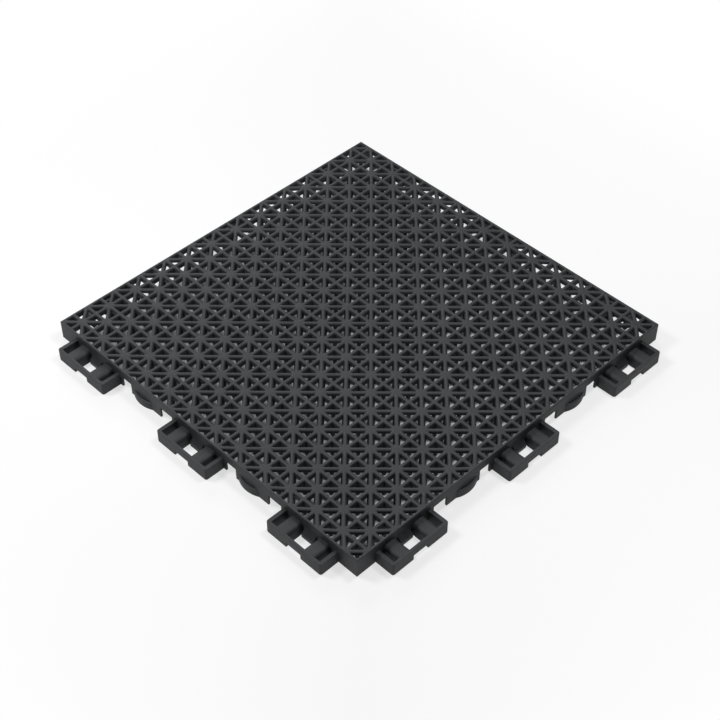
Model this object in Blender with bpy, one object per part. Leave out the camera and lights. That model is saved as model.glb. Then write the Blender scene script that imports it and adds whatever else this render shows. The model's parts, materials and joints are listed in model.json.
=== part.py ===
"""Interlocking sports court tile, one plastic moulding, shown lying on the floor.

Metres, +Z up, floor at z = 0.  The playing face is a flat lattice of straight and
diagonal ribs, carried by a skirt round the edge and by short posts.  Two
neighbouring edges carry low connector loops; the other two are cut out to pass over
the next tile's loops and carry the prongs that snap into them.
The lattice is split by two hairline cuts into three bodies of the same moulding.
"""
import math

import bmesh
import bpy
from mathutils import Matrix, Vector

MM = 0.001

# Body
CELLS = 25                      # lattice cells along each side
PITCH = 10.0 * MM               # spacing of the straight ribs
BODY = 248.5 * MM               # outside width of the skirt
HEIGHT = 12.7 * MM              # floor to playing face
RIB = 1.8 * MM                  # width of a rib at the playing face
RIB_DEPTH = 4.0 * MM            # depth of a straight rib, which narrows to its lower edge
SLANT_DEPTH = 2.5 * MM          # depth of a diagonal rib
SKIRT = 1.55 * MM               # thickness of the skirt
POST = 3.8 * MM                 # width of the square post under a crossing of eight ribs
CUT_AT = (-30.0 * MM, 60.0 * MM)   # where the lattice is split
CUT_GAP = 0.3 * MM              # width of the hairline cuts

# Connector loops
LOOP_MARGIN = 34.25 * MM        # middle of an end loop from the corner of the skirt
LOOP_LENGTH = 41.6 * MM         # along the edge
LOOP_REACH = 12.8 * MM          # out from the skirt
LOOP_HEIGHT = 8.1 * MM
LOOP_END_WALL = 2.5 * MM
LOOP_OUTER_WALL = 1.9 * MM
LOOP_CORNER = 2.0 * MM          # radius of the upright outer corners
HOLE_WIDTH = 12.2 * MM          # middle hole, along the edge
SLOT = 3.2 * MM                 # gap between an end wall and the bar beside it
SADDLE_HEIGHT = 7.9 * MM
SADDLE_LIFT = 0.5 * MM          # underside of the bars above the floor
SADDLE_ROUND = 2.6 * MM
CATCH_WIDTH = 5.0 * MM          # block on the skirt inside the hole
CATCH_REACH = 2.7 * MM
CATCH_HEIGHT = 6.8 * MM
ARCH_WIDTH = 10.8 * MM          # raised notch under the outer wall
ARCH_HEIGHT = 3.2 * MM

# Edge between the loops
BAY_POST = 2.0 * MM             # skirt left standing beside a loop
NOTCH_HEIGHT = 7.4 * MM
NOTCH_FAR_END = 14.0 * MM       # inner end of the notch beside the bumper's tail
NOTCH_NEAR_END = 12.0 * MM      # inner end of the notch beside the stub
BUMPER_PEAK = -3.7 * MM         # centre of the bumper's arc from the middle of the bay
BUMPER_BULGE = 2.1 * MM         # how far the arc stands out from the skirt
BUMPER_RADIUS = 17.5 * MM
BUMPER_HEIGHT = 4.6 * MM
BUMPER_SLOPE = 5.0 * MM         # height of the sloping shoulder above the arc
BUMPER_SLOPE_IN = 2.9 * MM
BUMPER_BODY = 6.0 * MM          # inward thickness before it is trimmed to the skirt
TAIL_LENGTH = 9.0 * MM
TAIL_ANGLE = 30.0
TAIL_THICK = 1.6 * MM
TAIL_DROP = 0.1 * MM            # top of the tail below the bumper's upright face

# Edges that receive the next tile
PASS_WIDTH = 42.8 * MM
PASS_HEIGHT = 8.5 * MM
TILE_GAP = 1.5 * MM             # between the skirts of two joined tiles
PRONG_TOP = 11.2 * MM
PRONG_FOOT = 1.5 * MM
PRONG_THICK = 1.6 * MM
PRONG_CLEAR = 0.3 * MM
PRONG_BACK = 1.4 * MM           # from the catch block to the near prong
TAB_WIDTH = 2.3 * MM
TAB_DEPTH = 6.5 * MM
TAB_BACK = 2.2 * MM             # from the face of the skirt to a tab
TAB_FOOT = 2.0 * MM

HALF = BODY / 2
INNER = HALF - SKIRT
LOOP_SPACING = HALF - LOOP_MARGIN
BAY_HALF = (LOOP_SPACING - LOOP_LENGTH) / 2
SADDLE_WIDTH = (LOOP_LENGTH - HOLE_WIDTH) / 2 - SLOT - LOOP_END_WALL
BURIED = 0.8 * MM               # how far an added piece is sunk into the skirt
BORE_BACK = 0.4 * MM
OVERCUT = 1.0 * MM              # how far a cutter runs past the face it cuts
FUSE = 1e-6
LOOP_PLACES = (-LOOP_SPACING, 0.0, LOOP_SPACING)
BAY_PLACES = (-LOOP_SPACING / 2, LOOP_SPACING / 2)
NOTCH_FAR = (BAY_POST - BAY_HALF, -NOTCH_FAR_END)
NOTCH_NEAR = (NOTCH_NEAR_END, BAY_HALF - BAY_POST)
COLUMN_MID = CELLS / 2
PIECES = ("tile_left", "tile_middle", "tile_right")
PLASTIC = (0.075, 0.076, 0.08, 1.0)


def clear_scene():
    for obj in list(bpy.data.objects):
        bpy.data.objects.remove(obj, do_unlink=True)


def collection(name):
    col = bpy.data.collections.new(name)
    bpy.context.scene.collection.children.link(col)
    return col


def plastic():
    mat = bpy.data.materials.new("charcoal_plastic")
    mat.use_nodes = True
    shader = mat.node_tree.nodes["Principled BSDF"]
    shader.inputs["Base Color"].default_value = PLASTIC
    shader.inputs["Roughness"].default_value = 0.62
    shader.inputs["Metallic"].default_value = 0.0
    mat.diffuse_color = PLASTIC
    return mat


def add_object(name, bm, col, mat=None):
    """Turn a bmesh into an object in a collection."""
    bmesh.ops.recalc_face_normals(bm, faces=bm.faces[:])
    mesh = bpy.data.meshes.new(name)
    bm.to_mesh(mesh)
    bm.free()
    if mat is not None:
        mesh.materials.append(mat)
    obj = bpy.data.objects.new(name, mesh)
    col.objects.link(obj)
    return obj


def block(bm, low, high):
    """Box between two corners."""
    size = [high[k] - low[k] for k in range(3)]
    middle = [(high[k] + low[k]) / 2 for k in range(3)]
    matrix = Matrix.Translation(middle) @ Matrix.Diagonal((size[0], size[1], size[2], 1.0))
    return bmesh.ops.create_cube(bm, size=1.0, matrix=matrix)["verts"]


def female_edge(u, w, z):
    """Point u along the front-left edge and w out from its skirt."""
    return Vector((u, -HALF - w, z))


def male_edge(u, w, z):
    """Point u along the back-right edge and w out from its skirt."""
    return Vector((u, HALF + w, z))


def other_side(point):
    """Mirror a point across the diagonal, onto the neighbouring edge of the same sort."""
    return Vector((-point.y, -point.x, point.z))


# Lattice

def even_node(key):
    return (key[0] + key[1]) % 2 == 0


def lattice_nodes(bm):
    """Rib crossings as a dictionary from column and row to vertex, on a flat sheet."""
    bmesh.ops.create_grid(bm, x_segments=CELLS, y_segments=CELLS, size=CELLS * PITCH / 2)
    nodes = {}
    line = INNER + RIB / 2
    for vert in bm.verts:
        key = tuple(round(vert.co[k] / PITCH + COLUMN_MID) for k in range(2))
        nodes[key] = vert
        for k in range(2):
            vert.co[k] = max(-line, min(line, vert.co[k]))
        vert.co.z = HEIGHT
    return nodes


def split_cells(bm, nodes):
    """Put the one diagonal rib in every cell, between the crossings where eight ribs meet."""
    star = {vert for key, vert in nodes.items() if even_node(key)}
    for face in bm.faces[:]:
        ends = [vert for vert in face.verts if vert in star]
        bmesh.utils.face_split(face, ends[0], ends[1])


def on_border(key):
    return key[0] in (0, CELLS) or key[1] in (0, CELLS)


def inner_keys(nodes):
    return [key for key in nodes if not on_border(key)]


def to_border(vert, key, reach):
    for k in range(2):
        if key[k] == 0:
            vert.co[k] = -reach
        if key[k] == CELLS:
            vert.co[k] = reach


def border_edges(nodes):
    """Edges of the square line through the border crossings."""
    edges = set()
    for key, vert in nodes.items():
        if not on_border(key):
            continue
        for edge in vert.link_edges:
            if edge.is_boundary:
                edges.add(edge)
    return list(edges)


def tidy_face(bm, nodes):
    """Give the playing face one flat panel per rib and one per crossing."""
    mine = set(nodes.values())
    inside = [nodes[key] for key in inner_keys(nodes)]
    middle = [e for e in bm.edges if e.verts[0] in mine and e.verts[1] in mine
              and not e.is_boundary]
    bmesh.ops.dissolve_edges(bm, edges=middle, use_verts=False)
    for vert in inside:
        for face in list(vert.link_faces):
            if len(face.verts) < 4:
                continue
            loop = [item for item in face.loops if item.vert == vert][0]
            ahead = loop.link_loop_next.vert
            behind = loop.link_loop_prev.vert
            bmesh.utils.face_split(face, behind, ahead)
    bmesh.ops.dissolve_verts(bm, verts=inside)


def under_passage(x, y):
    """True where the next tile's loop lies, so no post may stand there."""
    reach = POST / 2
    for along, across in ((x, HALF - y), (-y, HALF + x)):
        near = min(abs(along - place) for place in LOOP_PLACES)
        if near < PASS_WIDTH / 2 + reach and across < LOOP_REACH + reach:
            return True
    return False


def is_slanting(centre, far):
    away = far - centre
    return min(abs(away.x), abs(away.y)) > FUSE


def rib_ends(vert, ridges):
    """End the lower edges of the ribs round a crossing on the sides of its post."""
    centre = vert.co.copy()
    ends = []
    for edge in list(vert.link_edges):
        far = edge.other_vert(vert)
        if far not in ridges:
            continue
        slanting = is_slanting(centre, far.co)
        length = POST / 2 * (math.sqrt(2.0) if slanting else 1.0)
        new = bmesh.utils.edge_split(edge, vert, length / edge.calc_length())[1]
        new.co = centre + (far.co - centre).to_2d().normalized().to_3d() * length
        if slanting:
            new.co.z = HEIGHT - SLANT_DEPTH
        ends.append(new)
    ridges.update(ends)
    return ends


def free_crossing(bm, vert, ends):
    """Part the rib walls from the crossing, leaving one face round it."""
    for edge in [e for e in vert.link_edges if e.other_vert(vert) not in ends]:
        corner = edge.other_vert(vert)
        pair = []
        for face in list(edge.link_faces):
            end = [v for v in face.verts if v in ends][0]
            bmesh.utils.face_split(face, end, corner)
            pair.append(end)
        merged = bmesh.utils.face_join(list(edge.link_faces))
        bmesh.utils.face_split(merged, pair[0], pair[1])
    return bmesh.ops.dissolve_verts(bm, verts=[vert])


def grow_post(bm, vert, ridges):
    """Square post from a crossing of eight ribs down to the floor."""
    centre = vert.co.copy()
    ends = rib_ends(vert, ridges)
    free_crossing(bm, vert, ends)
    open_face = [f for f in ends[0].link_faces if set(f.verts) == set(ends)][0]
    ring = list(open_face.verts)
    bmesh.ops.delete(bm, geom=[open_face], context="FACES_ONLY")
    while not is_slanting(centre, ring[0].co):
        ring = ring[1:] + ring[:1]
    foot = [bm.verts.new((v.co.x, v.co.y, 0.0)) for v in ring[::2]]
    for k in range(4):
        n = (k + 1) % 4
        side = (ring[2 * k], ring[2 * k + 1], ring[2 * n], foot[n], foot[k])
        bm.faces.new(side)
    bm.faces.new(foot)


def lattice_body():
    """Closed mesh of the ribs, the posts and the skirt."""
    bm = bmesh.new()
    nodes = lattice_nodes(bm)
    split_cells(bm, nodes)
    bmesh.ops.inset_individual(bm, faces=bm.faces[:], thickness=RIB / 2,
                               depth=0.0, use_even_offset=True)
    holes = [face for face in bm.faces if len(face.verts) == 3]
    bmesh.ops.delete(bm, geom=holes, context="FACES_ONLY")

    everything = bm.verts[:] + bm.edges[:] + bm.faces[:]
    twin = bmesh.ops.duplicate(bm, geom=everything)["vert_map"]
    under = {key: twin[vert] for key, vert in nodes.items()}

    for key, vert in nodes.items():
        if on_border(key):
            to_border(vert, key, HALF)
    tidy_face(bm, nodes)

    ridges = set(under.values())
    for key, vert in under.items():
        vert.co.z = HEIGHT - RIB_DEPTH
        to_border(vert, key, INNER)
    for key in inner_keys(under):
        vert = under[key]
        if even_node(key) and not under_passage(vert.co.x, vert.co.y):
            grow_post(bm, vert, ridges)

    close_skirt(bm, {k: v for k, v in nodes.items() if on_border(k)},
                {k: v for k, v in under.items() if on_border(k)})
    bmesh.ops.remove_doubles(bm, verts=bm.verts[:], dist=FUSE)
    bmesh.ops.recalc_face_normals(bm, faces=bm.faces[:])
    return bm


def close_skirt(bm, border_top, border_under):
    """Skirt walls, from the inner line of the ribs to the floor and up the outside."""
    outer = border_edges(border_top)
    inner = border_edges(border_under)
    wall = bmesh.ops.extrude_edge_only(bm, edges=inner)["geom"]
    for vert in [item for item in wall if isinstance(item, bmesh.types.BMVert)]:
        vert.co.z = 0.0
    low = [e for e in wall if isinstance(e, bmesh.types.BMEdge)
           and all(v.co.z < FUSE for v in e.verts)]
    sole = bmesh.ops.extrude_edge_only(bm, edges=low)["geom"]
    for vert in [item for item in sole if isinstance(item, bmesh.types.BMVert)]:
        for k in range(2):
            if abs(abs(vert.co[k]) - INNER) < FUSE:
                vert.co[k] = math.copysign(HALF, vert.co[k])
    side = bmesh.ops.extrude_edge_only(bm, edges=outer)["geom"]
    for vert in [item for item in side if isinstance(item, bmesh.types.BMVert)]:
        vert.co.z = 0.0


def cut_lattice(bm, low, high):
    """Keep the part of the body between two cuts and close the cut ribs."""
    for limit, sign in ((low, -1.0), (high, 1.0)):
        if limit is None:
            continue
        geom = bm.verts[:] + bm.edges[:] + bm.faces[:]
        bmesh.ops.bisect_plane(bm, geom=geom, dist=1e-7, plane_co=(limit, 0, 0),
                               plane_no=(sign, 0, 0), clear_outer=True)
        rim = [edge for edge in bm.edges if edge.is_boundary]
        bmesh.ops.holes_fill(bm, edges=rim, sides=0)
    bmesh.ops.recalc_face_normals(bm, faces=bm.faces[:])


# Pieces added to the skirt

def evaluated(obj):
    graph = bpy.context.evaluated_depsgraph_get()
    graph.update()
    return bpy.data.meshes.new_from_object(obj.evaluated_get(graph))


def boolean(obj, tool, operation):
    mod = obj.modifiers.new(operation.lower() + "_" + tool.name, "BOOLEAN")
    mod.operation = operation
    mod.solver = "EXACT"
    mod.object = tool
    return mod


def round_edges(bm, edges, radius, segments):
    bmesh.ops.bevel(bm, geom=edges, offset=radius, segments=segments, affect="EDGES",
                    profile=0.5)


def saddle(bm, low_u, high_u):
    """Bar from the skirt to the loop's outer wall, with a rounded back."""
    reach = LOOP_REACH - LOOP_OUTER_WALL / 2
    verts = block(bm, (low_u, -BURIED / 2, SADDLE_LIFT), (high_u, reach, SADDLE_HEIGHT))
    top = [e for e in bm.edges if e.verts[0] in verts and e.verts[1] in verts
           and all(v.co.z > SADDLE_HEIGHT / 2 for v in e.verts)
           and abs(e.verts[0].co.x - e.verts[1].co.x) < FUSE]
    round_edges(bm, top, SADDLE_ROUND, 3)


def loop_mesh(col):
    """One connector loop in edge coordinates: x along the edge, y out from the skirt."""
    half = LOOP_LENGTH / 2
    bm = bmesh.new()
    block(bm, (-half, -BURIED, 0.0), (half, LOOP_REACH, LOOP_HEIGHT))
    corners = [e for e in bm.edges if all(v.co.y > 0 for v in e.verts)
               and abs(e.verts[0].co.z - e.verts[1].co.z) > FUSE]
    round_edges(bm, corners, LOOP_CORNER, 3)
    frame = add_object("loop_frame", bm, col)

    bm = bmesh.new()
    block(bm, (LOOP_END_WALL - half, -BORE_BACK, -OVERCUT),
          (half - LOOP_END_WALL, LOOP_REACH - LOOP_OUTER_WALL, LOOP_HEIGHT + OVERCUT))
    pocket = add_object("loop_pocket", bm, col)

    bm = bmesh.new()
    for side in (-1, 1):
        ends = sorted((side * HOLE_WIDTH / 2, side * (HOLE_WIDTH / 2 + SADDLE_WIDTH)))
        saddle(bm, ends[0], ends[1])
    block(bm, (-CATCH_WIDTH / 2, -BURIED * 0.75, SADDLE_LIFT),
          (CATCH_WIDTH / 2, CATCH_REACH, CATCH_HEIGHT))
    bars = add_object("loop_bars", bm, col)

    bm = bmesh.new()
    block(bm, (-ARCH_WIDTH / 2, LOOP_REACH - LOOP_OUTER_WALL - OVERCUT / 2, -OVERCUT),
          (ARCH_WIDTH / 2, LOOP_REACH + OVERCUT, ARCH_HEIGHT))
    arch = add_object("loop_arch", bm, col)

    boolean(frame, pocket, "DIFFERENCE")
    boolean(frame, bars, "UNION")
    boolean(frame, arch, "DIFFERENCE")
    mesh = evaluated(frame)
    for obj in (frame, pocket, bars, arch):
        bpy.data.objects.remove(obj, do_unlink=True)
    return mesh


def bumper_mesh():
    """Curved bumper between two loops, in edge coordinates."""
    centre = BUMPER_BULGE - BUMPER_RADIUS
    bm = bmesh.new()
    low = BUMPER_RADIUS
    high = BUMPER_RADIUS - BUMPER_SLOPE_IN
    top = BUMPER_HEIGHT + BUMPER_SLOPE
    inside = BUMPER_RADIUS - BUMPER_BODY
    rows = ((inside, 0.0), (low, 0.0), (low, BUMPER_HEIGHT), (high, top), (inside, top))
    ring = [bm.verts.new((0.0, radius, z)) for radius, z in rows]
    face = bm.faces.new(ring)
    sweep = math.radians(80.0)
    bmesh.ops.rotate(bm, verts=ring, cent=(0, 0, 0), matrix=Matrix.Rotation(-sweep / 2, 3, "Z"))
    bmesh.ops.spin(bm, geom=[face], cent=(0, 0, 0), axis=(0, 0, 1), angle=sweep, steps=16,
                   use_merge=False, use_duplicate=False)
    bmesh.ops.translate(bm, verts=bm.verts[:], vec=(BUMPER_PEAK, centre, 0.0))
    geom = bm.verts[:] + bm.edges[:] + bm.faces[:]
    bmesh.ops.bisect_plane(bm, geom=geom, dist=1e-7, plane_co=(0, -BURIED, 0),
                           plane_no=(0, -1, 0), clear_outer=True)
    bmesh.ops.holes_fill(bm, edges=[e for e in bm.edges if e.is_boundary], sides=0)
    return bm


def tail_mesh():
    """Thin straight end of the bumper, running back inside the skirt."""
    bm = bmesh.new()
    block(bm, (-TAIL_LENGTH, -TAIL_THICK, 0.0), (0.0, 0.0, BUMPER_HEIGHT - TAIL_DROP))
    turn = math.radians(TAIL_ANGLE)
    bmesh.ops.rotate(bm, verts=bm.verts[:], cent=(0, 0, 0), matrix=Matrix.Rotation(turn, 3, "Z"))
    start_u = BUMPER_PEAK - BUMPER_RADIUS * math.sin(turn)
    start_w = BUMPER_BULGE - BUMPER_RADIUS * (1 - math.cos(turn))
    bmesh.ops.translate(bm, verts=bm.verts[:], vec=(start_u, start_w, 0.0))
    return bm


def prong_mesh():
    """Snap prongs under the edge, in edge coordinates with y out from the skirt."""
    bm = bmesh.new()
    wide = HOLE_WIDTH / 2 - PRONG_CLEAR
    nearest = TILE_GAP - CATCH_REACH - PRONG_BACK
    farthest = TILE_GAP + LOOP_OUTER_WALL - LOOP_REACH + PRONG_CLEAR
    for w in (nearest - PRONG_THICK, farthest):
        block(bm, (-wide, w, PRONG_FOOT), (wide, w + PRONG_THICK, PRONG_TOP))
    slot_in = HOLE_WIDTH / 2 + SADDLE_WIDTH + (SLOT - TAB_WIDTH) / 2
    for side in (-1, 1):
        ends = sorted((side * slot_in, side * (slot_in + TAB_WIDTH)))
        block(bm, (ends[0], -TAB_BACK - TAB_DEPTH, TAB_FOOT),
              (ends[1], -TAB_BACK, PRONG_TOP))
    return bm


def place_mesh(target, source, edge, along, mirrored):
    """Copy a mesh in edge coordinates onto an edge of the tile."""
    bm = bmesh.new()
    bm.from_mesh(source)
    for vert in bm.verts:
        point = edge(along + vert.co.x, vert.co.y, vert.co.z)
        vert.co = other_side(point) if mirrored else point
    bmesh.ops.recalc_face_normals(bm, faces=bm.faces[:])
    placed = bpy.data.meshes.new("placed")
    bm.to_mesh(placed)
    bm.free()
    target.from_mesh(placed)
    bpy.data.meshes.remove(placed)


def temp_mesh(bm):
    bmesh.ops.recalc_face_normals(bm, faces=bm.faces[:])
    mesh = bpy.data.meshes.new("temp")
    bm.to_mesh(mesh)
    bm.free()
    return mesh


def piece_of(x):
    """Index of the body that a point of the tile belongs to."""
    return sum(1 for cut in CUT_AT if x > cut)


def notch_block(edge, along, low_u, high_u, height, mirrored):
    """Corners of a box that opens the skirt from the floor up."""
    a = edge(along + low_u, -SKIRT - OVERCUT, -OVERCUT)
    b = edge(along + high_u, OVERCUT, height)
    if mirrored:
        a = other_side(a)
        b = other_side(b)
    low = [min(a[k], b[k]) for k in range(3)]
    high = [max(a[k], b[k]) for k in range(3)]
    return low, high


def all_notches():
    boxes = []
    for mirrored in (False, True):
        for along in BAY_PLACES:
            for ends in (NOTCH_FAR, NOTCH_NEAR):
                boxes.append(notch_block(female_edge, along, ends[0], ends[1],
                                         NOTCH_HEIGHT, mirrored))
        for along in LOOP_PLACES:
            boxes.append(notch_block(male_edge, along, -PASS_WIDTH / 2, PASS_WIDTH / 2,
                                     PASS_HEIGHT, mirrored))
    return boxes


def split_boxes(boxes):
    """Share out the notch boxes between the bodies they touch."""
    shares = [[], [], []]
    for low, high in boxes:
        for index in range(piece_of(low[0]), piece_of(high[0]) + 1):
            shares[index].append((low, high))
    return shares


def all_additions(col):
    """Meshes to be fused to the skirt, as (mesh, edge, place along it)."""
    loop = loop_mesh(col)
    bumper = temp_mesh(bumper_mesh())
    tail = temp_mesh(tail_mesh())
    prong = temp_mesh(prong_mesh())
    items = [(loop, female_edge, place) for place in LOOP_PLACES]
    items += [(bumper, female_edge, place) for place in BAY_PLACES]
    items += [(tail, female_edge, place) for place in BAY_PLACES]
    items += [(prong, male_edge, place) for place in LOOP_PLACES]
    return items


def build():
    clear_scene()
    col = collection("sports_court_tile")
    tools = collection("cutters")
    mat = plastic()
    notches = split_boxes(all_notches())
    additions = all_additions(tools)
    limits = [None] + list(CUT_AT) + [None]
    centre = Vector((-LOOP_REACH / 2, LOOP_REACH / 2, 0.0))

    for index, name in enumerate(PIECES):
        low = limits[index]
        high = limits[index + 1]
        bm = lattice_body()
        cut_lattice(bm, None if low is None else low + CUT_GAP / 2,
                    None if high is None else high - CUT_GAP / 2)
        body = add_object(name, bm, col, mat)
        body.location = centre

        bm = bmesh.new()
        for corner_low, corner_high in notches[index]:
            block(bm, corner_low, corner_high)
        cutter = add_object(name + "_notches", bm, tools)
        cutter.location = centre
        boolean(body, cutter, "DIFFERENCE")

        groups = {}
        for mesh, edge, along in additions:
            for mirrored in (False, True):
                point = edge(along, 0.0, 0.0)
                point = other_side(point) if mirrored else point
                if piece_of(point.x) != index:
                    continue
                groups.setdefault(mesh.name, []).append((mesh, edge, along, mirrored))
        for key in sorted(groups):
            bm = bmesh.new()
            for mesh, edge, along, mirrored in groups[key]:
                place_mesh(bm, mesh, edge, along, mirrored)
            extra = add_object(name + "_extra", bm, tools)
            extra.location = centre
            boolean(body, extra, "UNION")

    for obj in tools.objects:
        obj.hide_render = True
        obj.display_type = "WIRE"


build()
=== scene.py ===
"""Looks of the sports court tile: one detailed mesh of the whole moulding, its charcoal
plastic, a white floor and a soft studio light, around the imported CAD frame.

Metres, +Z up, floor at z = 0.  The tile is built with the middle of its own square at the
origin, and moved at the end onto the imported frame, whose origin is the middle of the whole
bounding box.
"""
import json
import math

import bmesh
import bpy
from mathutils import Matrix, Vector

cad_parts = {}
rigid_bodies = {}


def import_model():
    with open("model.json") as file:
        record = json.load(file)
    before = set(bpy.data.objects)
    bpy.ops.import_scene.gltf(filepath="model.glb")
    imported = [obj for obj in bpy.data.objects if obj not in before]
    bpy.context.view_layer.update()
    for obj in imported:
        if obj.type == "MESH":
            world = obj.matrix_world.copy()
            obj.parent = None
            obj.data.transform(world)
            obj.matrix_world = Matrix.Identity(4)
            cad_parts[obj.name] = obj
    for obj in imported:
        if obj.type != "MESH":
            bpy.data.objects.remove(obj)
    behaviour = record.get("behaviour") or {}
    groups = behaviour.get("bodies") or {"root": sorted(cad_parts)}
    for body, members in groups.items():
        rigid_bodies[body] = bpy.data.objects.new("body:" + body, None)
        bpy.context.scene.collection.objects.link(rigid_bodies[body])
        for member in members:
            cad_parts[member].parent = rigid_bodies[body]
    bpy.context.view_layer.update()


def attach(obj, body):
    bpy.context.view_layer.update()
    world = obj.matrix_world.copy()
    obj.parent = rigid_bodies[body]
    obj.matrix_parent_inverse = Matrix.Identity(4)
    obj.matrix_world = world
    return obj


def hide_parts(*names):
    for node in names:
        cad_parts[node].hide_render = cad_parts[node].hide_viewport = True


MM = 0.001

# Body
CELLS = 25                      # along each side
PITCH = 10.0 * MM
BODY = 248.5 * MM
HEIGHT = 12.7 * MM
RIB_FLAT = 0.8 * MM             # flat top of a rib
SHOULDER = 2.3 * MM             # across a rib, just under its rounded shoulders
SHOULDER_DEPTH = 0.8 * MM
SHOULDER_STEPS = 2
RIB_FOOT = 2.7 * MM             # across the lower edge of a straight rib
RIB_DEPTH = 3.2 * MM
SLANT_FOOT = 2.8 * MM           # across the lower edge of a diagonal rib
SLANT_DEPTH = 2.0 * MM
HOLE_CORNER = 0.35 * MM         # upright corners of the holes
CORNER_SPREAD = 0.4             # how much the corners widen over the rounded shoulders
CORNER_STEPS = 2
POST_TOP = 4.5 * MM             # round posts under the crossings of eight ribs
POST_FOOT = 4.3 * MM
POST_SUNK = 0.6 * MM            # how far a post runs up into its crossing
POST_SIDES = 12
POST_TURN = 15.0                # degrees, so that two of its corners lie on a straight rib
SKIRT = 1.55 * MM               # at the playing face
SKIRT_EDGE = 0.4 * MM           # rounding of its upper edge
SKIRT_LEDGE = 0.3 * MM          # taken off its inner side below the ribs
LEG_FOOT = 2.0 * MM             # thin square legs under the crossings of four ribs
LEG_TOP = 2.8 * MM
LEG_SUNK = 1.5 * MM             # how far a leg runs up into its crossing
LEG_TURN = 45.0                 # degrees
LEG_CORNER = 0.3 * MM

# Connector loops
LOOP_MARGIN = 34.25 * MM
LOOP_LENGTH = 41.6 * MM
LOOP_REACH = 12.8 * MM
LOOP_HEIGHT = 8.1 * MM
LOOP_END_WALL = 2.5 * MM
LOOP_OUTER_WALL = 1.9 * MM
LOOP_CORNER = 1.4 * MM
LOOP_INNER_CORNER = 0.4 * MM
LOOP_CORNER_STEPS = 4
HOLE_WIDTH = 12.2 * MM
SADDLE_WIDTH = 9.0 * MM
SADDLE_HEIGHT = 7.9 * MM
SADDLE_ROUND = 2.6 * MM
SADDLE_STEPS = 6
SADDLE_SPLAY = 0.7 * MM         # how far its foot reaches into the hole
CATCH_WIDTH = 9.0 * MM
CATCH_REACH = 2.7 * MM
CATCH_HEIGHT = 6.8 * MM         # at the skirt
CATCH_LIP = 3.4 * MM            # height at its outer end
BAR_FOOT = 0.5 * MM             # saddles and catch end this far above the floor
FITTING_EDGE = 0.25 * MM        # rounding of the edges of loops and prongs
ARCH_WIDTH = 10.8 * MM
ARCH_HEIGHT = 3.2 * MM

# Edge between the loops
BAY_POST = 2.0 * MM
NOTCH_HEIGHT = 7.4 * MM
NOTCH_FAR_END = 14.0 * MM
NOTCH_NEAR_END = 12.0 * MM
BUMPER_PEAK = -3.7 * MM
BUMPER_BULGE = 2.1 * MM
BUMPER_RADIUS = 17.5 * MM
BUMPER_HEIGHT = 4.6 * MM
BUMPER_SLOPE = 5.0 * MM
BUMPER_SLOPE_IN = 2.9 * MM
BUMPER_LIP = 1.0 * MM           # narrow band along its upper edge
LIP_RISE = 0.35 * MM
BUMPER_BODY = 6.0 * MM          # from its front back into the skirt
BUMPER_SWEEP = 80.0             # degrees, before it is cut off at the skirt
BUMPER_STEPS = 40
BUMPER_EDGE = 0.35 * MM
TAIL_LENGTH = 9.0 * MM
TAIL_ANGLE = 30.0               # degrees from the skirt
TAIL_THICK = 1.6 * MM
TAIL_DROP = 0.1 * MM            # its top lies this far below the bumper's edge

# Edges that receive the next tile
PASS_WIDTH = 42.8 * MM          # room for a loop of the next tile, free of supports
PASS_HEIGHT = 8.5 * MM
OPEN_END = 113.0 * MM           # the skirt's low opening ends here, on both sides of the middle
PLATE_DEPTH = 7.6 * MM          # plate over the prongs, inward from the skirt
TILE_GAP = 1.5 * MM             # between two joined tiles
PRONG_TOP = 11.2 * MM
PRONG_FOOT = 1.5 * MM
PRONG_THICK = 1.6 * MM
PRONG_CLEAR = 0.3 * MM
PRONG_BACK = 1.4 * MM
TAB_WIDTH = 2.3 * MM
TAB_DEPTH = 6.5 * MM
TAB_BACK = 2.2 * MM
TAB_FOOT = 2.0 * MM

HALF = BODY / 2
INNER = HALF - SKIRT
BORDER = INNER + SHOULDER / 2   # line of the outermost crossings, on the skirt
LOOP_SPACING = HALF - LOOP_MARGIN
BAY_HALF = (LOOP_SPACING - LOOP_LENGTH) / 2
SLOT = (LOOP_LENGTH - HOLE_WIDTH) / 2 - SADDLE_WIDTH - LOOP_END_WALL
LOOP_PLACES = (-LOOP_SPACING, 0.0, LOOP_SPACING)
BAY_PLACES = (-LOOP_SPACING / 2, LOOP_SPACING / 2)
NOTCH_FAR = (BAY_POST - BAY_HALF, -NOTCH_FAR_END)
NOTCH_NEAR = (NOTCH_NEAR_END, BAY_HALF - BAY_POST)
BURIED = 0.8 * MM               # how far a loop's frame and a bumper run into the skirt
SADDLE_BURIED = 0.4 * MM        # its bars run in less, so that no end faces share a plane
CATCH_BURIED = 0.6 * MM
PLATE_SUNK = 0.4 * MM           # how far the plates over the prongs run up into the ribs
OVERCUT = 1.0 * MM
FUSE = 1e-6                     # closer than this counts as the same place
SOFTEN_STEPS = 2
SOFTEN_ANGLE = 38.0             # degrees; flatter edges aren't rounded
SHARP_ANGLE = 50.0              # degrees; steeper edges are shaded sharp
NORMAL_WEIGHT = 100             # the modifier's most, so that large faces stay flat
CENTRE = Vector((-LOOP_REACH / 2, LOOP_REACH / 2, 0.0))
NODES = ("tile_left", "tile_middle", "tile_right")

# Plastic
PLASTIC_LOW = (0.0325, 0.034, 0.0375, 1.0)
PLASTIC_HIGH = (0.0405, 0.042, 0.0455, 1.0)
# Paler colour on sharp convex edges: a painted highlight
PLASTIC_EDGE_HIGHLIGHT = (0.06, 0.06, 0.063, 1.0)
PLASTIC_IOR = 1.49
PLASTIC_SPECULAR = 0.3
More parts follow.
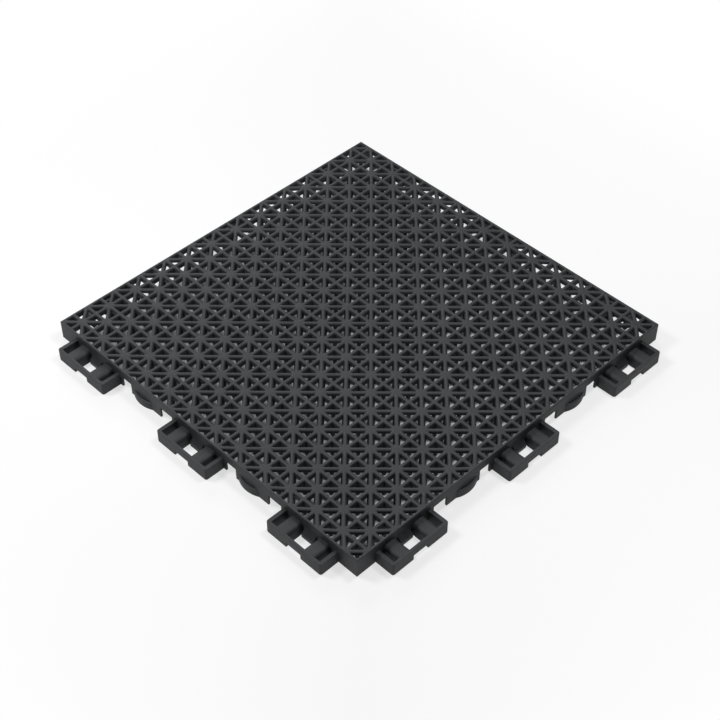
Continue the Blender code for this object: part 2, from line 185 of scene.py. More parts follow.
# Scale, detail and roughness of each noise texture
CLOUD = (22.0, 3.0, 0.55)       # slow change of tone over the tile
GRAIN = (900.0, 2.0, 0.6)       # fine specks in the tone
FINE = (2600.0, 2.0, 0.6)       # moulded surface, for the bump
CLOUD_RANGE = (0.35, 0.65)
GRAIN_RANGE = (0.3, 0.7)
SPECK_RANGE = (0.9, 1.1)        # what the specks multiply the tone by
EDGE_HIGHLIGHT_RANGE = (0.53, 0.6)        # pointiness from which an edge gets the painted highlight
EDGE_HIGHLIGHT_SHARE = 0.35
ROUGHNESS = (0.5, 0.66)
BUMP_STRENGTH = 0.25
BUMP_DEPTH = 0.04 * MM

# Floor and light
FLOOR_SIZE = 60.0
FLOOR_DROP = 0.2 * MM
FLOOR_COLOUR = (0.92, 0.92, 0.92, 1.0)
FLOOR_ROUGHNESS = 0.8
FLOOR_SPECULAR = 0.2
# Distances from the middle of the tile between which the floor's glow grows, and by how much;
# the first band, just inside the skirt, is painted light over the shaded floor under the tile's
# edge
FLOOR_GLOW = ((HALF - 9.0 * MM, HALF - 5.0 * MM, 0.65),
              (HALF + SKIRT, HALF + 200.0 * MM, 0.35))
SKY = 0.13
SKY_COLOUR = (0.97, 0.985, 1.0, 1.0)
SIDEWAYS = Vector((1.0, 1.0, 0.0)).normalized()
BACKWARDS = Vector((-1.0, 1.0, 0.0)).normalized()
# Name, place sideways, backwards and up from the tile, size, and level of light on the floor
LAMPS = (("left", -0.44, 0.0, 0.55, 0.2, 0.39),
         ("right", 0.19, 0.0, 0.55, 0.14, 0.4),
         ("back", -0.37, 1.37, 0.75, 0.7, 0.14))

# Camera, solved from the lattice and the corners of the tile in the photo
CAMERA_FROM_CENTRE = Vector((467.69, -461.04, 636.58)) * MM
CAMERA_LOOK = Vector((-0.50395, 0.49747, -0.70609))
CAMERA_LENS = 77.09
CAMERA_SENSOR = 36.0
CAMERA_CLIP = (0.01, 20.0)


# Points on the edges of the tile

def female_edge(u, w, z):
    """Point u along the front-left edge and w out from its skirt."""
    return Vector((u, -HALF - w, z))


def male_edge(u, w, z):
    """Point u along the back-right edge and w out from its skirt."""
    return Vector((u, HALF + w, z))


def other_side(point):
    """Mirror a point across the diagonal, onto the neighbouring edge of the same sort."""
    return Vector((-point.y, -point.x, point.z))


def new_object(name, bm):
    """Object in the scene with the bmesh's faces turned outward; the bmesh is freed."""
    bmesh.ops.recalc_face_normals(bm, faces=bm.faces[:])
    mesh = bpy.data.meshes.new(name)
    bm.to_mesh(mesh)
    bm.free()
    obj = bpy.data.objects.new(name, mesh)
    bpy.context.scene.collection.objects.link(obj)
    return obj


def block(bm, low, high):
    """Box between two corners."""
    size = [high[k] - low[k] for k in range(3)]
    middle = [(high[k] + low[k]) / 2 for k in range(3)]
    matrix = Matrix.Translation(middle) @ Matrix.Diagonal((size[0], size[1], size[2], 1.0))
    return bmesh.ops.create_cube(bm, size=1.0, matrix=matrix)["verts"]


# Lattice

def even_node(key):
    """True for a crossing of eight ribs, False for one of four."""
    return (key[0] + key[1]) % 2 == 0


def node_line(index, limit=BORDER):
    """Place of a row of crossings; the outermost rows lie on the limit."""
    return max(-limit, min(limit, (index - CELLS / 2) * PITCH))


def crossings(bm, z):
    """Vertices at the rib crossings, as a dictionary from column and row."""
    nodes = {}
    for i in range(CELLS + 1):
        for j in range(CELLS + 1):
            nodes[(i, j)] = bm.verts.new((node_line(i), node_line(j), z))
    return nodes


def cell_holes(i, j):
    """The two holes of a cell, each as three crossings with the right angle in the middle."""
    a, b, c, d = (i, j), (i + 1, j), (i + 1, j + 1), (i, j + 1)
    if even_node(a):
        return (a, b, c), (c, d, a)
    return (d, a, b), (b, c, d)


def ring_points(corners, insets, radius, z):
    """Outline of a hole: the triangle's sides moved in, with an arc at each corner."""
    arcs = []
    for k in range(3):
        here = corners[k]
        ahead = (corners[(k + 1) % 3] - here).normalized()
        behind = (corners[k - 1] - here).normalized()
        angle = ahead.angle(behind)
        along = (insets[k - 1] + radius) / math.sin(angle)
        across = (insets[k] + radius) / math.sin(angle)
        centre = here + ahead * along + behind * across
        back = -(ahead + behind).normalized()
        half_turn = (math.pi - angle) / 2
        arc = []
        for step in range(CORNER_STEPS + 1):
            turn = half_turn * (2 * step / CORNER_STEPS - 1)
            spot = centre + Matrix.Rotation(turn, 2) @ back * radius
            arc.append((spot.x, spot.y, z))
        arcs.append(arc)
    return arcs


def joined(arcs):
    """The arcs of a ring as one row."""
    return [vert for arc in arcs for vert in arc]


def strip(bm, first, second):
    """Faces between two open rows of vertices."""
    for k in range(len(first) - 1):
        bm.faces.new((first[k], first[k + 1], second[k + 1], second[k]))


def bridge(bm, lower, upper):
    """Faces between two closed rings of the same length."""
    strip(bm, lower + lower[:1], upper + upper[:1])


def panel(bm, corners, arcs):
    """Flat faces between the crossings round a hole and the arcs at its corners."""
    count = len(corners)
    for k in range(count):
        for a, b in zip(arcs[k], arcs[k][1:]):
            bm.faces.new((corners[k], a, b))
        following = (k + 1) % count
        bm.faces.new((corners[k], arcs[k][-1], arcs[following][0], corners[following]))


def straight_half(depth):
    """Half the width of a straight rib at some depth below its shoulders."""
    share = (depth - SHOULDER_DEPTH) / (RIB_DEPTH - SHOULDER_DEPTH)
    return SHOULDER / 2 + (RIB_FOOT - SHOULDER) / 2 * share


def hole_levels():
    """Half widths of the straight and slanting ribs and their height, from the top down."""
    levels = []
    for step in range(SHOULDER_STEPS + 1):
        turn = math.radians(90.0) * step / SHOULDER_STEPS
        half = RIB_FLAT / 2 + (SHOULDER - RIB_FLAT) / 2 * math.sin(turn)
        levels.append((half, half, HEIGHT - SHOULDER_DEPTH * (1 - math.cos(turn))))
    levels.append((straight_half(SLANT_DEPTH), SLANT_FOOT / 2, HEIGHT - SLANT_DEPTH))
    levels.append((RIB_FOOT / 2, SLANT_FOOT / 2, HEIGHT - RIB_DEPTH))
    return levels


def side_inset(a, b, straight, slanting):
    """How far a side of a hole lies from the line between two crossings."""
    if a[0] != b[0] and a[1] != b[1]:
        return slanting
    on_border = any(a[k] == b[k] and a[k] in (0, CELLS) for k in range(2))
    return min(straight, SHOULDER / 2) if on_border else straight


def hole_outline(keys, level):
    """Arcs of points at the three corners of a hole, at one level."""
    straight, slanting, z = level
    corners = [Vector((node_line(i), node_line(j))) for i, j in keys]
    insets = [side_inset(keys[k], keys[(k + 1) % 3], straight, slanting) for k in range(3)]
    radius = HOLE_CORNER + CORNER_SPREAD * max(0.0, SHOULDER / 2 - straight)
    return ring_points(corners, insets, radius, z)


def hole_ring(bm, keys, level):
    """Vertices round a hole at one level, as an arc for each corner."""
    return [[bm.verts.new(point) for point in arc] for arc in hole_outline(keys, level)]


def foot_ring(bm, keys, level):
    """Vertices round a hole at its foot, without those under the diagonal rib."""
    first, middle, last = hole_outline(keys, level)
    return [[bm.verts.new(first[-1])], [bm.verts.new(point) for point in middle],
            [bm.verts.new(last[0])]]


def cell_corner(bm, key, beside, before, level):
    """Vertex where two straight ribs meet under the diagonal one that ends at a crossing.

    The ribs run from the crossing, key, to its neighbours, beside and before.
    """
    straight, slanting, z = level
    x, y = node_line(key[0]), node_line(key[1])
    for other in (beside, before):
        inset = side_inset(key, other, straight, slanting)
        if other[0] == key[0]:
            x += math.copysign(inset, node_line(before[0] + beside[0] - key[0]) - x)
        else:
            y += math.copysign(inset, node_line(before[1] + beside[1] - key[1]) - y)
    return bm.verts.new((x, y, z))


def deep_ring(bm, holes, arcs, level):
    """Arcs round the square gap under both holes of a cell."""
    (start, middle, end), (_, far, _) = holes
    near_arcs, far_arcs = arcs
    start_corner = cell_corner(bm, start, middle, far, level)
    end_corner = cell_corner(bm, end, middle, far, level)
    return [[far_arcs[2][0], start_corner, near_arcs[0][-1]], near_arcs[1],
            [near_arcs[2][0], end_corner, far_arcs[0][-1]], far_arcs[1]]


def add_cell(bm, i, j, top, under):
    """Walls of the two holes in a cell, with the diagonal rib between them."""
    holes = cell_holes(i, j)
    levels = hole_levels()
    slant_arcs = []
    for keys in holes:
        rings = [hole_ring(bm, keys, level) for level in levels[:-1]]
        panel(bm, [top[key] for key in keys], rings[0])
        for upper, lower in zip(rings, rings[1:]):
            bridge(bm, joined(lower), joined(upper))
        slant_arcs.append(rings[-1])
    near, far = slant_arcs
    strip(bm, near[2] + near[0], list(reversed(far[2] + far[0])))
    slant_ring = deep_ring(bm, holes, slant_arcs, levels[-2])
    for arc in (slant_ring[0], slant_ring[2]):
        bm.faces.new(arc)
    foot_arcs = [foot_ring(bm, keys, levels[-1]) for keys in holes]
    foot = deep_ring(bm, holes, foot_arcs, levels[-1])
    bridge(bm, joined(foot), joined(slant_ring))
    (start, middle, end), (_, opposite, _) = holes
    panel(bm, [under[key] for key in (start, middle, end, opposite)], foot)


def border_loop(nodes):
    """Vertices round the border, counter-clockwise."""
    n = CELLS
    keys = [(i, 0) for i in range(n)]
    keys += [(n, j) for j in range(n)]
    keys += [(i, n) for i in range(n, 0, -1)]
    keys += [(0, j) for j in range(n, 0, -1)]
    return [nodes[key] for key in keys]


def moved_border(point, reach):
    """A place on the border line moved out to reach."""
    return [math.copysign(reach, value) if abs(abs(value) - BORDER) < FUSE else value
            for value in point]


def level_ring(bm, ring, reach, z):
    """A copy of a border ring moved out to reach, at another height."""
    return [bm.verts.new(moved_border(vert.co.xy, reach) + [z]) for vert in ring]


def lattice_object():
    """Ribs and skirt as one closed mesh."""
    bm = bmesh.new()
    top = crossings(bm, HEIGHT)
    under = crossings(bm, HEIGHT - RIB_DEPTH)
    for i in range(CELLS):
        for j in range(CELLS):
            add_cell(bm, i, j, top, under)
    rim = border_loop(top)
    turn = math.radians(45.0)           # halfway round the rounded upper edge
    rows = [rim,
            level_ring(bm, rim, HALF - SKIRT_EDGE, HEIGHT),
            level_ring(bm, rim, HALF - SKIRT_EDGE * (1 - math.sin(turn)),
                       HEIGHT - SKIRT_EDGE * (1 - math.cos(turn))),
            level_ring(bm, rim, HALF, HEIGHT - SKIRT_EDGE),
            level_ring(bm, rim, HALF, 0.0),
            level_ring(bm, rim, INNER + SKIRT_LEDGE, 0.0)]
    lower = border_loop(under)
    for vert in lower:
        vert.co.xy = moved_border(vert.co.xy, INNER + SKIRT_LEDGE)
    for upper, low in zip(rows, rows[1:] + [lower]):
        bridge(bm, low, upper)
    return new_object("court_tile", bm)


# Supports

def under_passage(x, y, reach):
    """True where the next tile's loop lies, so no support stands there."""
    for along, across in ((x, HALF - y), (-y, HALF + x)):
        near = min(abs(along - place) for place in LOOP_PLACES)
        if near < PASS_WIDTH / 2 + reach and across < LOOP_REACH + reach:
            return True
    return False


def support_places(stars, reach):
    """Crossings of eight ribs, or of four, that have a support under them."""
    places = []
    for i in range(1, CELLS):
        for j in range(1, CELLS):
            x = node_line(i, HALF)
            y = node_line(j, HALF)
            if even_node((i, j)) == stars and not under_passage(x, y, reach):
                places.append((x, y))
    return places


def support(bm, x, y, top, sides, turn, foot_radius, top_radius):
    """Upright tapered prism from the floor up to a height."""
    matrix = Matrix.Translation((x, y, top / 2)) @ Matrix.Rotation(math.radians(turn), 4, "Z")
    bmesh.ops.create_cone(bm, cap_ends=True, segments=sides, radius1=foot_radius,
                          radius2=top_radius, depth=top, matrix=matrix)


def posts_object():
    """Round posts under the crossings of eight ribs."""
    bm = bmesh.new()
    top = HEIGHT - SLANT_DEPTH + POST_SUNK
    for x, y in support_places(True, POST_TOP / 2):
        support(bm, x, y, top, POST_SIDES, POST_TURN, POST_FOOT / 2, POST_TOP / 2)
    return new_object("posts", bm)


def legs_object():
    """Thin tapered legs with a square section under the crossings of four ribs."""
    bm = bmesh.new()
    top = HEIGHT - RIB_DEPTH + LEG_SUNK
    for x, y in support_places(False, LEG_TOP / 2):
        support(bm, x, y, top, 4, LEG_TURN, LEG_FOOT / math.sqrt(2), LEG_TOP / math.sqrt(2))
    upright = [e for e in bm.edges if abs(e.verts[0].co.z - e.verts[1].co.z) > top / 2]
    bmesh.ops.bevel(bm, geom=upright, offset=LEG_CORNER, segments=1, affect="EDGES")
    return new_object("legs", bm)


# Edge fittings

def evaluated(obj):
    """A new mesh with the object's modifiers applied."""
    graph = bpy.context.evaluated_depsgraph_get()
    graph.update()
    return bpy.data.meshes.new_from_object(obj.evaluated_get(graph))


def boolean(obj, tool, operation):
    """Cut or join a tool, which has to stay until the object is taken."""
    mod = obj.modifiers.new(operation.lower() + "_" + tool.name, "BOOLEAN")
    mod.operation = operation
    mod.solver = "MANIFOLD"
    mod.object = tool


def soften(obj, width):
    """Round the sharp edges of an object."""
    mod = obj.modifiers.new("soften", "BEVEL")
    mod.width = width
    mod.segments = SOFTEN_STEPS
    mod.limit_method = "ANGLE"
    mod.angle_limit = math.radians(SOFTEN_ANGLE)
    mod.use_clamp_overlap = True


def take(obj):
    """Final mesh of an object, which is then removed."""
    mesh = evaluated(obj)
    bpy.data.objects.remove(obj, do_unlink=True)
    return mesh


def frame_path():
    """Pairs of an outer and an inner point round a loop's wall, and where the arch begins."""
    half = LOOP_LENGTH / 2
    inner_w = LOOP_REACH - LOOP_OUTER_WALL
    right = [((half, -BURIED), (half - LOOP_END_WALL, -BURIED))]
    for step in range(LOOP_CORNER_STEPS + 1):
        turn = math.radians(90.0) * step / LOOP_CORNER_STEPS
        outer = (half - LOOP_CORNER * (1 - math.cos(turn)),
                 LOOP_REACH - LOOP_CORNER * (1 - math.sin(turn)))
        inner = (half - LOOP_END_WALL - LOOP_INNER_CORNER * (1 - math.cos(turn)),
                 inner_w - LOOP_INNER_CORNER * (1 - math.sin(turn)))
        right.append((outer, inner))
    arch = ARCH_WIDTH / 2
    right.append(((arch, LOOP_REACH), (arch, inner_w)))
    left = [((-outer[0], outer[1]), (-inner[0], inner[1])) for outer, inner in reversed(right)]
    return right + left, len(right) - 1


def frame_mesh():
    """Wall of a loop in edge coordinates: x along the edge, y out from the skirt."""
    bm = bmesh.new()
    path, arch = frame_path()
    rows = []
    for z in (0.0, ARCH_HEIGHT, LOOP_HEIGHT):
        rows.append([[bm.verts.new((*point, z)) for point in pair] for pair in path])
    low, middle, high = rows
    for k in range(len(path) - 1):
        bm.faces.new((high[k][0], high[k + 1][0], high[k + 1][1], high[k][1]))
        bottom = middle if k == arch else low
        bm.faces.new((bottom[k][0], bottom[k][1], bottom[k + 1][1], bottom[k + 1][0]))
        for lower, upper in ((low, middle), (middle, high)):
            if k == arch and lower is low:
                continue
            for side in (0, 1):
                bm.faces.new((lower[k][side], lower[k + 1][side],
                              upper[k + 1][side], upper[k][side]))
    for lower, upper in ((low, middle), (middle, high)):
        for k in (0, -1):
            bm.faces.new((lower[k][0], lower[k][1], upper[k][1], upper[k][0]))
    for k in (arch, arch + 1):
        bm.faces.new((low[k][0], low[k][1], middle[k][1], middle[k][0]))
    obj = new_object("loop_frame", bm)
    soften(obj, FITTING_EDGE)
    return take(obj)


def saddle(bm, low_u, high_u):
    """Bar from the skirt to the loop's outer wall, with a rounded back."""
    reach = LOOP_REACH - LOOP_OUTER_WALL / 2
    verts = block(bm, (low_u, -SADDLE_BURIED, BAR_FOOT), (high_u, reach, SADDLE_HEIGHT))
    hole_side = min(abs(low_u), abs(high_u))
    for vert in verts:
        if vert.co.z < SADDLE_HEIGHT / 2 and abs(abs(vert.co.x) - hole_side) < FUSE:
            vert.co.x -= math.copysign(SADDLE_SPLAY, vert.co.x)
    top = [e for e in bm.edges if e.verts[0] in verts and e.verts[1] in verts
           and all(v.co.z > SADDLE_HEIGHT / 2 for v in e.verts)
           and abs(e.verts[0].co.x - e.verts[1].co.x) < FUSE]
    bmesh.ops.bevel(bm, geom=top, offset=SADDLE_ROUND, segments=SADDLE_STEPS, affect="EDGES",
                    profile=0.5)


def bars_mesh():
    """Saddles and sloping catch inside a loop, in edge coordinates."""
    bm = bmesh.new()
    for side in (-1, 1):
        ends = sorted((side * HOLE_WIDTH / 2, side * (HOLE_WIDTH / 2 + SADDLE_WIDTH)))
        saddle(bm, ends[0], ends[1])
    catch = block(bm, (-CATCH_WIDTH / 2, -CATCH_BURIED, BAR_FOOT),
                  (CATCH_WIDTH / 2, CATCH_REACH, CATCH_HEIGHT))
    for vert in catch:
        if vert.co.y > 0 and vert.co.z > CATCH_LIP:
            vert.co.z = CATCH_LIP
    obj = new_object("loop_bars", bm)
    soften(obj, FITTING_EDGE)
    return take(obj)


def bumper_mesh():
    """Curved bumper between two loops, in edge coordinates."""
    bm = bmesh.new()
    front = BUMPER_RADIUS
    lip = front - BUMPER_LIP
    back = front - BUMPER_SLOPE_IN
    inside = front - BUMPER_BODY
    top = BUMPER_HEIGHT + BUMPER_SLOPE
    section = ((inside, 0.0), (front, 0.0), (front, BUMPER_HEIGHT),
               (lip, BUMPER_HEIGHT + LIP_RISE), (lip - LIP_RISE, BUMPER_HEIGHT - LIP_RISE),
               (back, top), (inside, top))
    ring = [bm.verts.new((0.0, radius, z)) for radius, z in section]
    face = bm.faces.new(ring)
    sweep = math.radians(BUMPER_SWEEP)
    bmesh.ops.rotate(bm, verts=ring, cent=(0, 0, 0), matrix=Matrix.Rotation(-sweep / 2, 3, "Z"))
    bmesh.ops.spin(bm, geom=[face], cent=(0, 0, 0), axis=(0, 0, 1), angle=sweep,
                   steps=BUMPER_STEPS, use_merge=False, use_duplicate=False)
    centre = (BUMPER_PEAK, BUMPER_BULGE - BUMPER_RADIUS, 0.0)
    bmesh.ops.translate(bm, verts=bm.verts[:], vec=centre)
    geom = bm.verts[:] + bm.edges[:] + bm.faces[:]
    bmesh.ops.bisect_plane(bm, geom=geom, dist=FUSE / 10, plane_co=(0, -BURIED, 0),
                           plane_no=(0, -1, 0), clear_outer=True)
    bmesh.ops.holes_fill(bm, edges=[e for e in bm.edges if e.is_boundary], sides=0)
    obj = new_object("bumper", bm)
    soften(obj, BUMPER_EDGE)
    return take(obj)


def tail_mesh():
    """Thin straight end of the bumper, running back inside the skirt."""
    bm = bmesh.new()
    block(bm, (-TAIL_LENGTH, -TAIL_THICK, 0.0), (0.0, 0.0, BUMPER_HEIGHT - TAIL_DROP))
    turn = math.radians(TAIL_ANGLE)
    bmesh.ops.rotate(bm, verts=bm.verts[:], cent=(0, 0, 0), matrix=Matrix.Rotation(turn, 3, "Z"))
    start_u = BUMPER_PEAK - BUMPER_RADIUS * math.sin(turn)
    start_w = BUMPER_BULGE - BUMPER_RADIUS * (1 - math.cos(turn))
    bmesh.ops.translate(bm, verts=bm.verts[:], vec=(start_u, start_w, 0.0))
    return take(new_object("tail", bm))


def prong_mesh():
    """Snap prongs and end tabs under a back edge, in edge coordinates."""
    bm = bmesh.new()
    wide = HOLE_WIDTH / 2 - PRONG_CLEAR
    nearest = TILE_GAP - CATCH_REACH - PRONG_BACK
    farthest = TILE_GAP + LOOP_OUTER_WALL - LOOP_REACH + PRONG_CLEAR
    for w in (nearest - PRONG_THICK, farthest):
        block(bm, (-wide, w, PRONG_FOOT), (wide, w + PRONG_THICK, PRONG_TOP))
    slot_in = HOLE_WIDTH / 2 + SADDLE_WIDTH + (SLOT - TAB_WIDTH) / 2
    for side in (-1, 1):
        ends = sorted((side * slot_in, side * (slot_in + TAB_WIDTH)))
        block(bm, (ends[0], -TAB_BACK - TAB_DEPTH, TAB_FOOT),
              (ends[1], -TAB_BACK, PRONG_TOP))
    obj = new_object("prongs", bm)
    soften(obj, FITTING_EDGE)
    return take(obj)


def plate_mesh():
    """Plate under the ribs that carries the prongs, in edge coordinates."""
    bm = bmesh.new()
    half = HOLE_WIDTH / 2 + SADDLE_WIDTH + (SLOT + TAB_WIDTH) / 2
    block(bm, (-half, -SKIRT - PLATE_DEPTH, PASS_HEIGHT),
          (half, -SKIRT / 2, HEIGHT - RIB_DEPTH + PLATE_SUNK))
    return take(new_object("plate", bm))


def place_mesh(target, source, edge, along, mirrored):
    """Copy a mesh in edge coordinates onto an edge of the tile."""
    bm = bmesh.new()
    bm.from_mesh(source)
    for vert in bm.verts:
        point = edge(along + vert.co.x, vert.co.y, vert.co.z)
        vert.co = other_side(point) if mirrored else point
    bmesh.ops.recalc_face_normals(bm, faces=bm.faces[:])
    placed = bpy.data.meshes.new("placed")
    bm.to_mesh(placed)
    bm.free()
    target.from_mesh(placed)
    bpy.data.meshes.remove(placed)


def spread(name, mesh, edge, places):
    """One object with a fitting at every place along both edges of its sort."""
    bm = bmesh.new()
    for mirrored in (False, True):
        for along in places:
            place_mesh(bm, mesh, edge, along, mirrored)
    return new_object(name, bm)


def notch_corners(edge, along, low_u, high_u, height, mirrored):
    """Corners of a box that opens the skirt from the floor up."""
    a = edge(along + low_u, -SKIRT - OVERCUT, -OVERCUT)
    b = edge(along + high_u, OVERCUT, height)
    if mirrored:
        a = other_side(a)
        b = other_side(b)
    low = [min(a[k], b[k]) for k in range(3)]
    high = [max(a[k], b[k]) for k in range(3)]
    return low, high


def notches_object():
    """Boxes that open the skirt: beside the bumpers, and along the two back edges."""
    bm = bmesh.new()
    for mirrored in (False, True):
        for along in BAY_PLACES:
            for ends in (NOTCH_FAR, NOTCH_NEAR):
                low, high = notch_corners(female_edge, along, ends[0], ends[1],
                                          NOTCH_HEIGHT, mirrored)
                block(bm, low, high)
        low, high = notch_corners(male_edge, 0.0, -OPEN_END, OPEN_END, PASS_HEIGHT, mirrored)
        block(bm, low, high)
    return new_object("notches", bm)


def court_tile():
    """The whole moulding as one closed mesh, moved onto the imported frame."""
    tile = lattice_object()
    notches = notches_object()
    parts = [posts_object(),
             legs_object(),
             spread("frames", frame_mesh(), female_edge, LOOP_PLACES),
             spread("bars", bars_mesh(), female_edge, LOOP_PLACES),
             spread("bumpers", bumper_mesh(), female_edge, BAY_PLACES),
             spread("tails", tail_mesh(), female_edge, BAY_PLACES),
             spread("plates", plate_mesh(), male_edge, LOOP_PLACES),
             spread("prongs", prong_mesh(), male_edge, LOOP_PLACES)]
    boolean(tile, notches, "DIFFERENCE")
    for part in parts:
        boolean(tile, part, "UNION")
    mesh = take(tile)
    for tool in [notches] + parts:
        bpy.data.objects.remove(tool, do_unlink=True)
    mesh.name = "court_tile"
    tile = bpy.data.objects.new("court_tile", mesh)
    bpy.context.scene.collection.objects.link(tile)
    mesh.transform(Matrix.Translation(CENTRE))
    return tile


def shade(obj):
    """Smooth shading, with flat panels kept flat and sharp corners kept sharp."""
    obj.data.shade_smooth()
    obj.data.set_sharp_from_angle(angle=math.radians(SHARP_ANGLE))
    mod = obj.modifiers.new("weighted", "WEIGHTED_NORMAL")
    mod.keep_sharp = True
    mod.weight = NORMAL_WEIGHT
    obj.data = evaluated(obj)
    obj.modifiers.clear()


# Material

def node(tree, kind, **sockets):
    """Node with values on the sockets of these names; an underscore stands for a space."""
    made = tree.nodes.new(kind)
    for name, value in sockets.items():
        made.inputs[name.replace("_", " ")].default_value = value
    return made


def ranged(tree, value, source=(0.0, 1.0), target=(0.0, 1.0)):
    """Output that runs over the target range while a value runs over the source range."""
    made = node(tree, "ShaderNodeMapRange", From_Min=source[0], From_Max=source[1],
                To_Min=target[0], To_Max=target[1])
    tree.links.new(value, made.inputs["Value"])
    return made.outputs["Result"]


def colour_mix(tree, blend, factor, first, second):
    """Colour output that blends two inputs, each a colour or another node's output."""
    made = tree.nodes.new("ShaderNodeMix")
    made.data_type = "RGBA"
    made.blend_type = blend
    for name, value in (("Factor", factor), ("A", first), ("B", second)):
        if isinstance(value, (float, tuple)):
            made.inputs[name].default_value = value
        else:
            tree.links.new(value, made.inputs[name])
    return made.outputs["Result"]


def noise(tree, coords, scale, detail, roughness):
    """Output of a noise texture over some coordinates."""
    made = node(tree, "ShaderNodeTexNoise", Scale=scale, Detail=detail, Roughness=roughness)
    tree.links.new(coords, made.inputs["Vector"])
    return made.outputs["Fac"]


def plastic():
    """Matte charcoal plastic: slow and fine changes of tone, a painted highlight on sharp edges,
    fine bump.
    """
    mat = bpy.data.materials.new("charcoal_plastic")
    mat.use_nodes = True
    tree = mat.node_tree
    link = tree.links.new
    shader = tree.nodes["Principled BSDF"]
    shader.inputs["Metallic"].default_value = 0.0
    shader.inputs["IOR"].default_value = PLASTIC_IOR
    shader.inputs["Specular IOR Level"].default_value = PLASTIC_SPECULAR

    coords = tree.nodes.new("ShaderNodeTexCoord").outputs["Object"]
    cloud, grain, fine = [noise(tree, coords, *settings) for settings in (CLOUD, GRAIN, FINE)]

    tint = tree.nodes.new("ShaderNodeValToRGB")
    colours = (PLASTIC_LOW, PLASTIC_HIGH)
    for stop, place, colour in zip(tint.color_ramp.elements, CLOUD_RANGE, colours):
        stop.position = place
        stop.color = colour
    link(cloud, tint.inputs["Fac"])
    specks = ranged(tree, grain, GRAIN_RANGE, SPECK_RANGE)
    tone = colour_mix(tree, "MULTIPLY", 1.0, tint.outputs["Color"], specks)

    geometry = tree.nodes.new("ShaderNodeNewGeometry")
    # Painted highlight: paler colour where pointiness marks a sharp convex edge
    edge_highlight = ranged(tree, geometry.outputs["Pointiness"], EDGE_HIGHLIGHT_RANGE, (0.0, EDGE_HIGHLIGHT_SHARE))
    link(colour_mix(tree, "MIX", edge_highlight, tone, PLASTIC_EDGE_HIGHLIGHT), shader.inputs["Base Color"])
    link(ranged(tree, cloud, target=ROUGHNESS), shader.inputs["Roughness"])

    bump = node(tree, "ShaderNodeBump", Strength=BUMP_STRENGTH, Distance=BUMP_DEPTH)
    link(fine, bump.inputs["Height"])
    link(bump.outputs["Normal"], shader.inputs["Normal"])
    mat.diffuse_color = PLASTIC_LOW
    return mat


def math_node(tree, operation, *inputs):
    """Math node whose inputs are numbers or other nodes' outputs; its own output."""
    made = tree.nodes.new("ShaderNodeMath")
    made.operation = operation
    for socket, value in zip(made.inputs, inputs):
        if isinstance(value, float):
            socket.default_value = value
        else:
            tree.links.new(value, socket)
    return made.outputs[0]


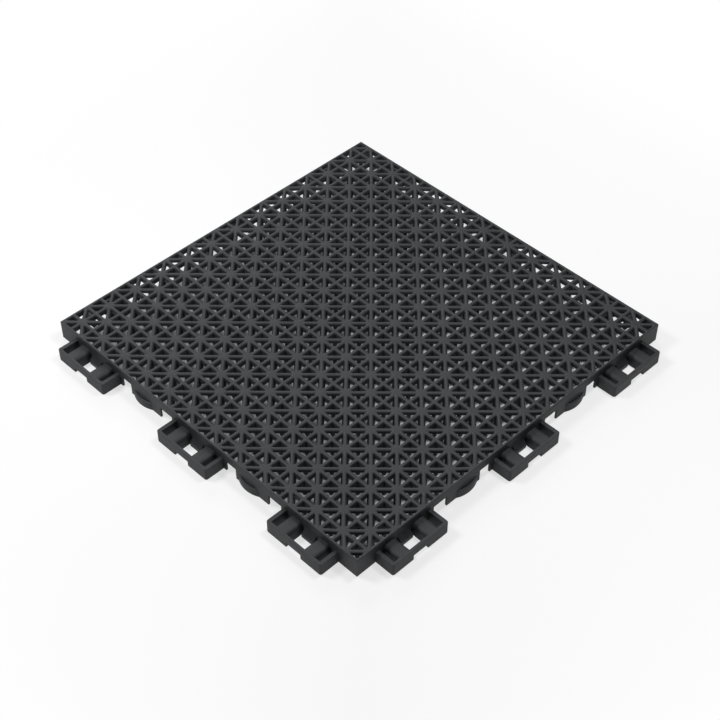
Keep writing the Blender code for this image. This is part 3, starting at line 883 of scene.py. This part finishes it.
def floor_white():
    """White floor that glows for the camera and in reflections round the tile and, as painted
    light over the shade there, just inside its edge; not further under it.
    """
    mat = bpy.data.materials.new("studio_floor")
    mat.use_nodes = True
    tree = mat.node_tree
    link = tree.links.new
    shader = tree.nodes["Principled BSDF"]
    shader.inputs["Base Color"].default_value = FLOOR_COLOUR
    shader.inputs["Roughness"].default_value = FLOOR_ROUGHNESS
    shader.inputs["Specular IOR Level"].default_value = FLOOR_SPECULAR

    place = tree.nodes.new("ShaderNodeSeparateXYZ")
    link(tree.nodes.new("ShaderNodeTexCoord").outputs["Object"], place.inputs["Vector"])
    across = math_node(tree, "MAXIMUM", math_node(tree, "ABSOLUTE", place.outputs["X"]),
                       math_node(tree, "ABSOLUTE", place.outputs["Y"]))
    # The first share is painted light over the shaded floor just inside the skirt; the second
    # whitens the floor round the tile
    shares = [ranged(tree, across, (start, end), (0.0, most)) for start, end, most in FLOOR_GLOW]
    path = tree.nodes.new("ShaderNodeLightPath")
    seen = math_node(tree, "MAXIMUM", path.outputs["Is Camera Ray"],
                     path.outputs["Is Glossy Ray"])
    share = math_node(tree, "MULTIPLY", math_node(tree, "ADD", *shares), seen)

    glow = node(tree, "ShaderNodeEmission", Strength=1.0)
    mix = tree.nodes.new("ShaderNodeMixShader")
    link(share, mix.inputs["Fac"])
    link(shader.outputs["BSDF"], mix.inputs[1])
    link(glow.outputs["Emission"], mix.inputs[2])
    link(mix.outputs["Shader"], tree.nodes["Material Output"].inputs["Surface"])
    return mat


# Scene

def floor():
    """Wide floor just under the tile."""
    bm = bmesh.new()
    bmesh.ops.create_grid(bm, x_segments=1, y_segments=1, size=FLOOR_SIZE / 2)
    obj = new_object("studio_floor", bm)
    obj.location = CENTRE - Vector((0, 0, FLOOR_DROP))
    obj.data.materials.append(floor_white())


def area_lamp(name, side, back, height, size, share):
    """Round soft lamp over the tile; share is the level of light that it gives on the floor."""
    way = SIDEWAYS * side + BACKWARDS * back + Vector((0.0, 0.0, height))
    light = bpy.data.lights.new(name, "AREA")
    light.shape = "DISK"
    light.size = size
    light.energy = share * math.pi ** 2 * way.length ** 3 / height
    lamp = bpy.data.objects.new(name, light)
    lamp.location = CENTRE + way
    lamp.rotation_euler = (-way).to_track_quat("-Z", "Y").to_euler()
    bpy.context.scene.collection.objects.link(lamp)


def studio():
    """A dim even sky and the lamps."""
    world = bpy.data.worlds.new("studio")
    world.use_nodes = True
    sky = world.node_tree.nodes["Background"]
    sky.inputs["Color"].default_value = SKY_COLOUR
    sky.inputs["Strength"].default_value = SKY
    bpy.context.scene.world = world
    for lamp in LAMPS:
        area_lamp(*lamp)


def camera():
    """Camera at the photo's place."""
    data = bpy.data.cameras.new("photo_camera")
    data.lens = CAMERA_LENS
    data.sensor_width = CAMERA_SENSOR
    data.clip_start, data.clip_end = CAMERA_CLIP
    obj = bpy.data.objects.new("photo_camera", data)
    obj.location = CENTRE + CAMERA_FROM_CENTRE
    obj.rotation_euler = CAMERA_LOOK.to_track_quat("-Z", "Y").to_euler()
    bpy.context.scene.collection.objects.link(obj)
    bpy.context.scene.camera = obj


for leftover in list(bpy.data.objects):
    bpy.data.objects.remove(leftover, do_unlink=True)
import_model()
tile = court_tile()
shade(tile)
tile.data.materials.clear()
tile.data.materials.append(plastic())
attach(tile, "root")
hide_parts(*NODES)
floor()
studio()
camera()
bpy.context.scene.view_settings.view_transform = "Standard"
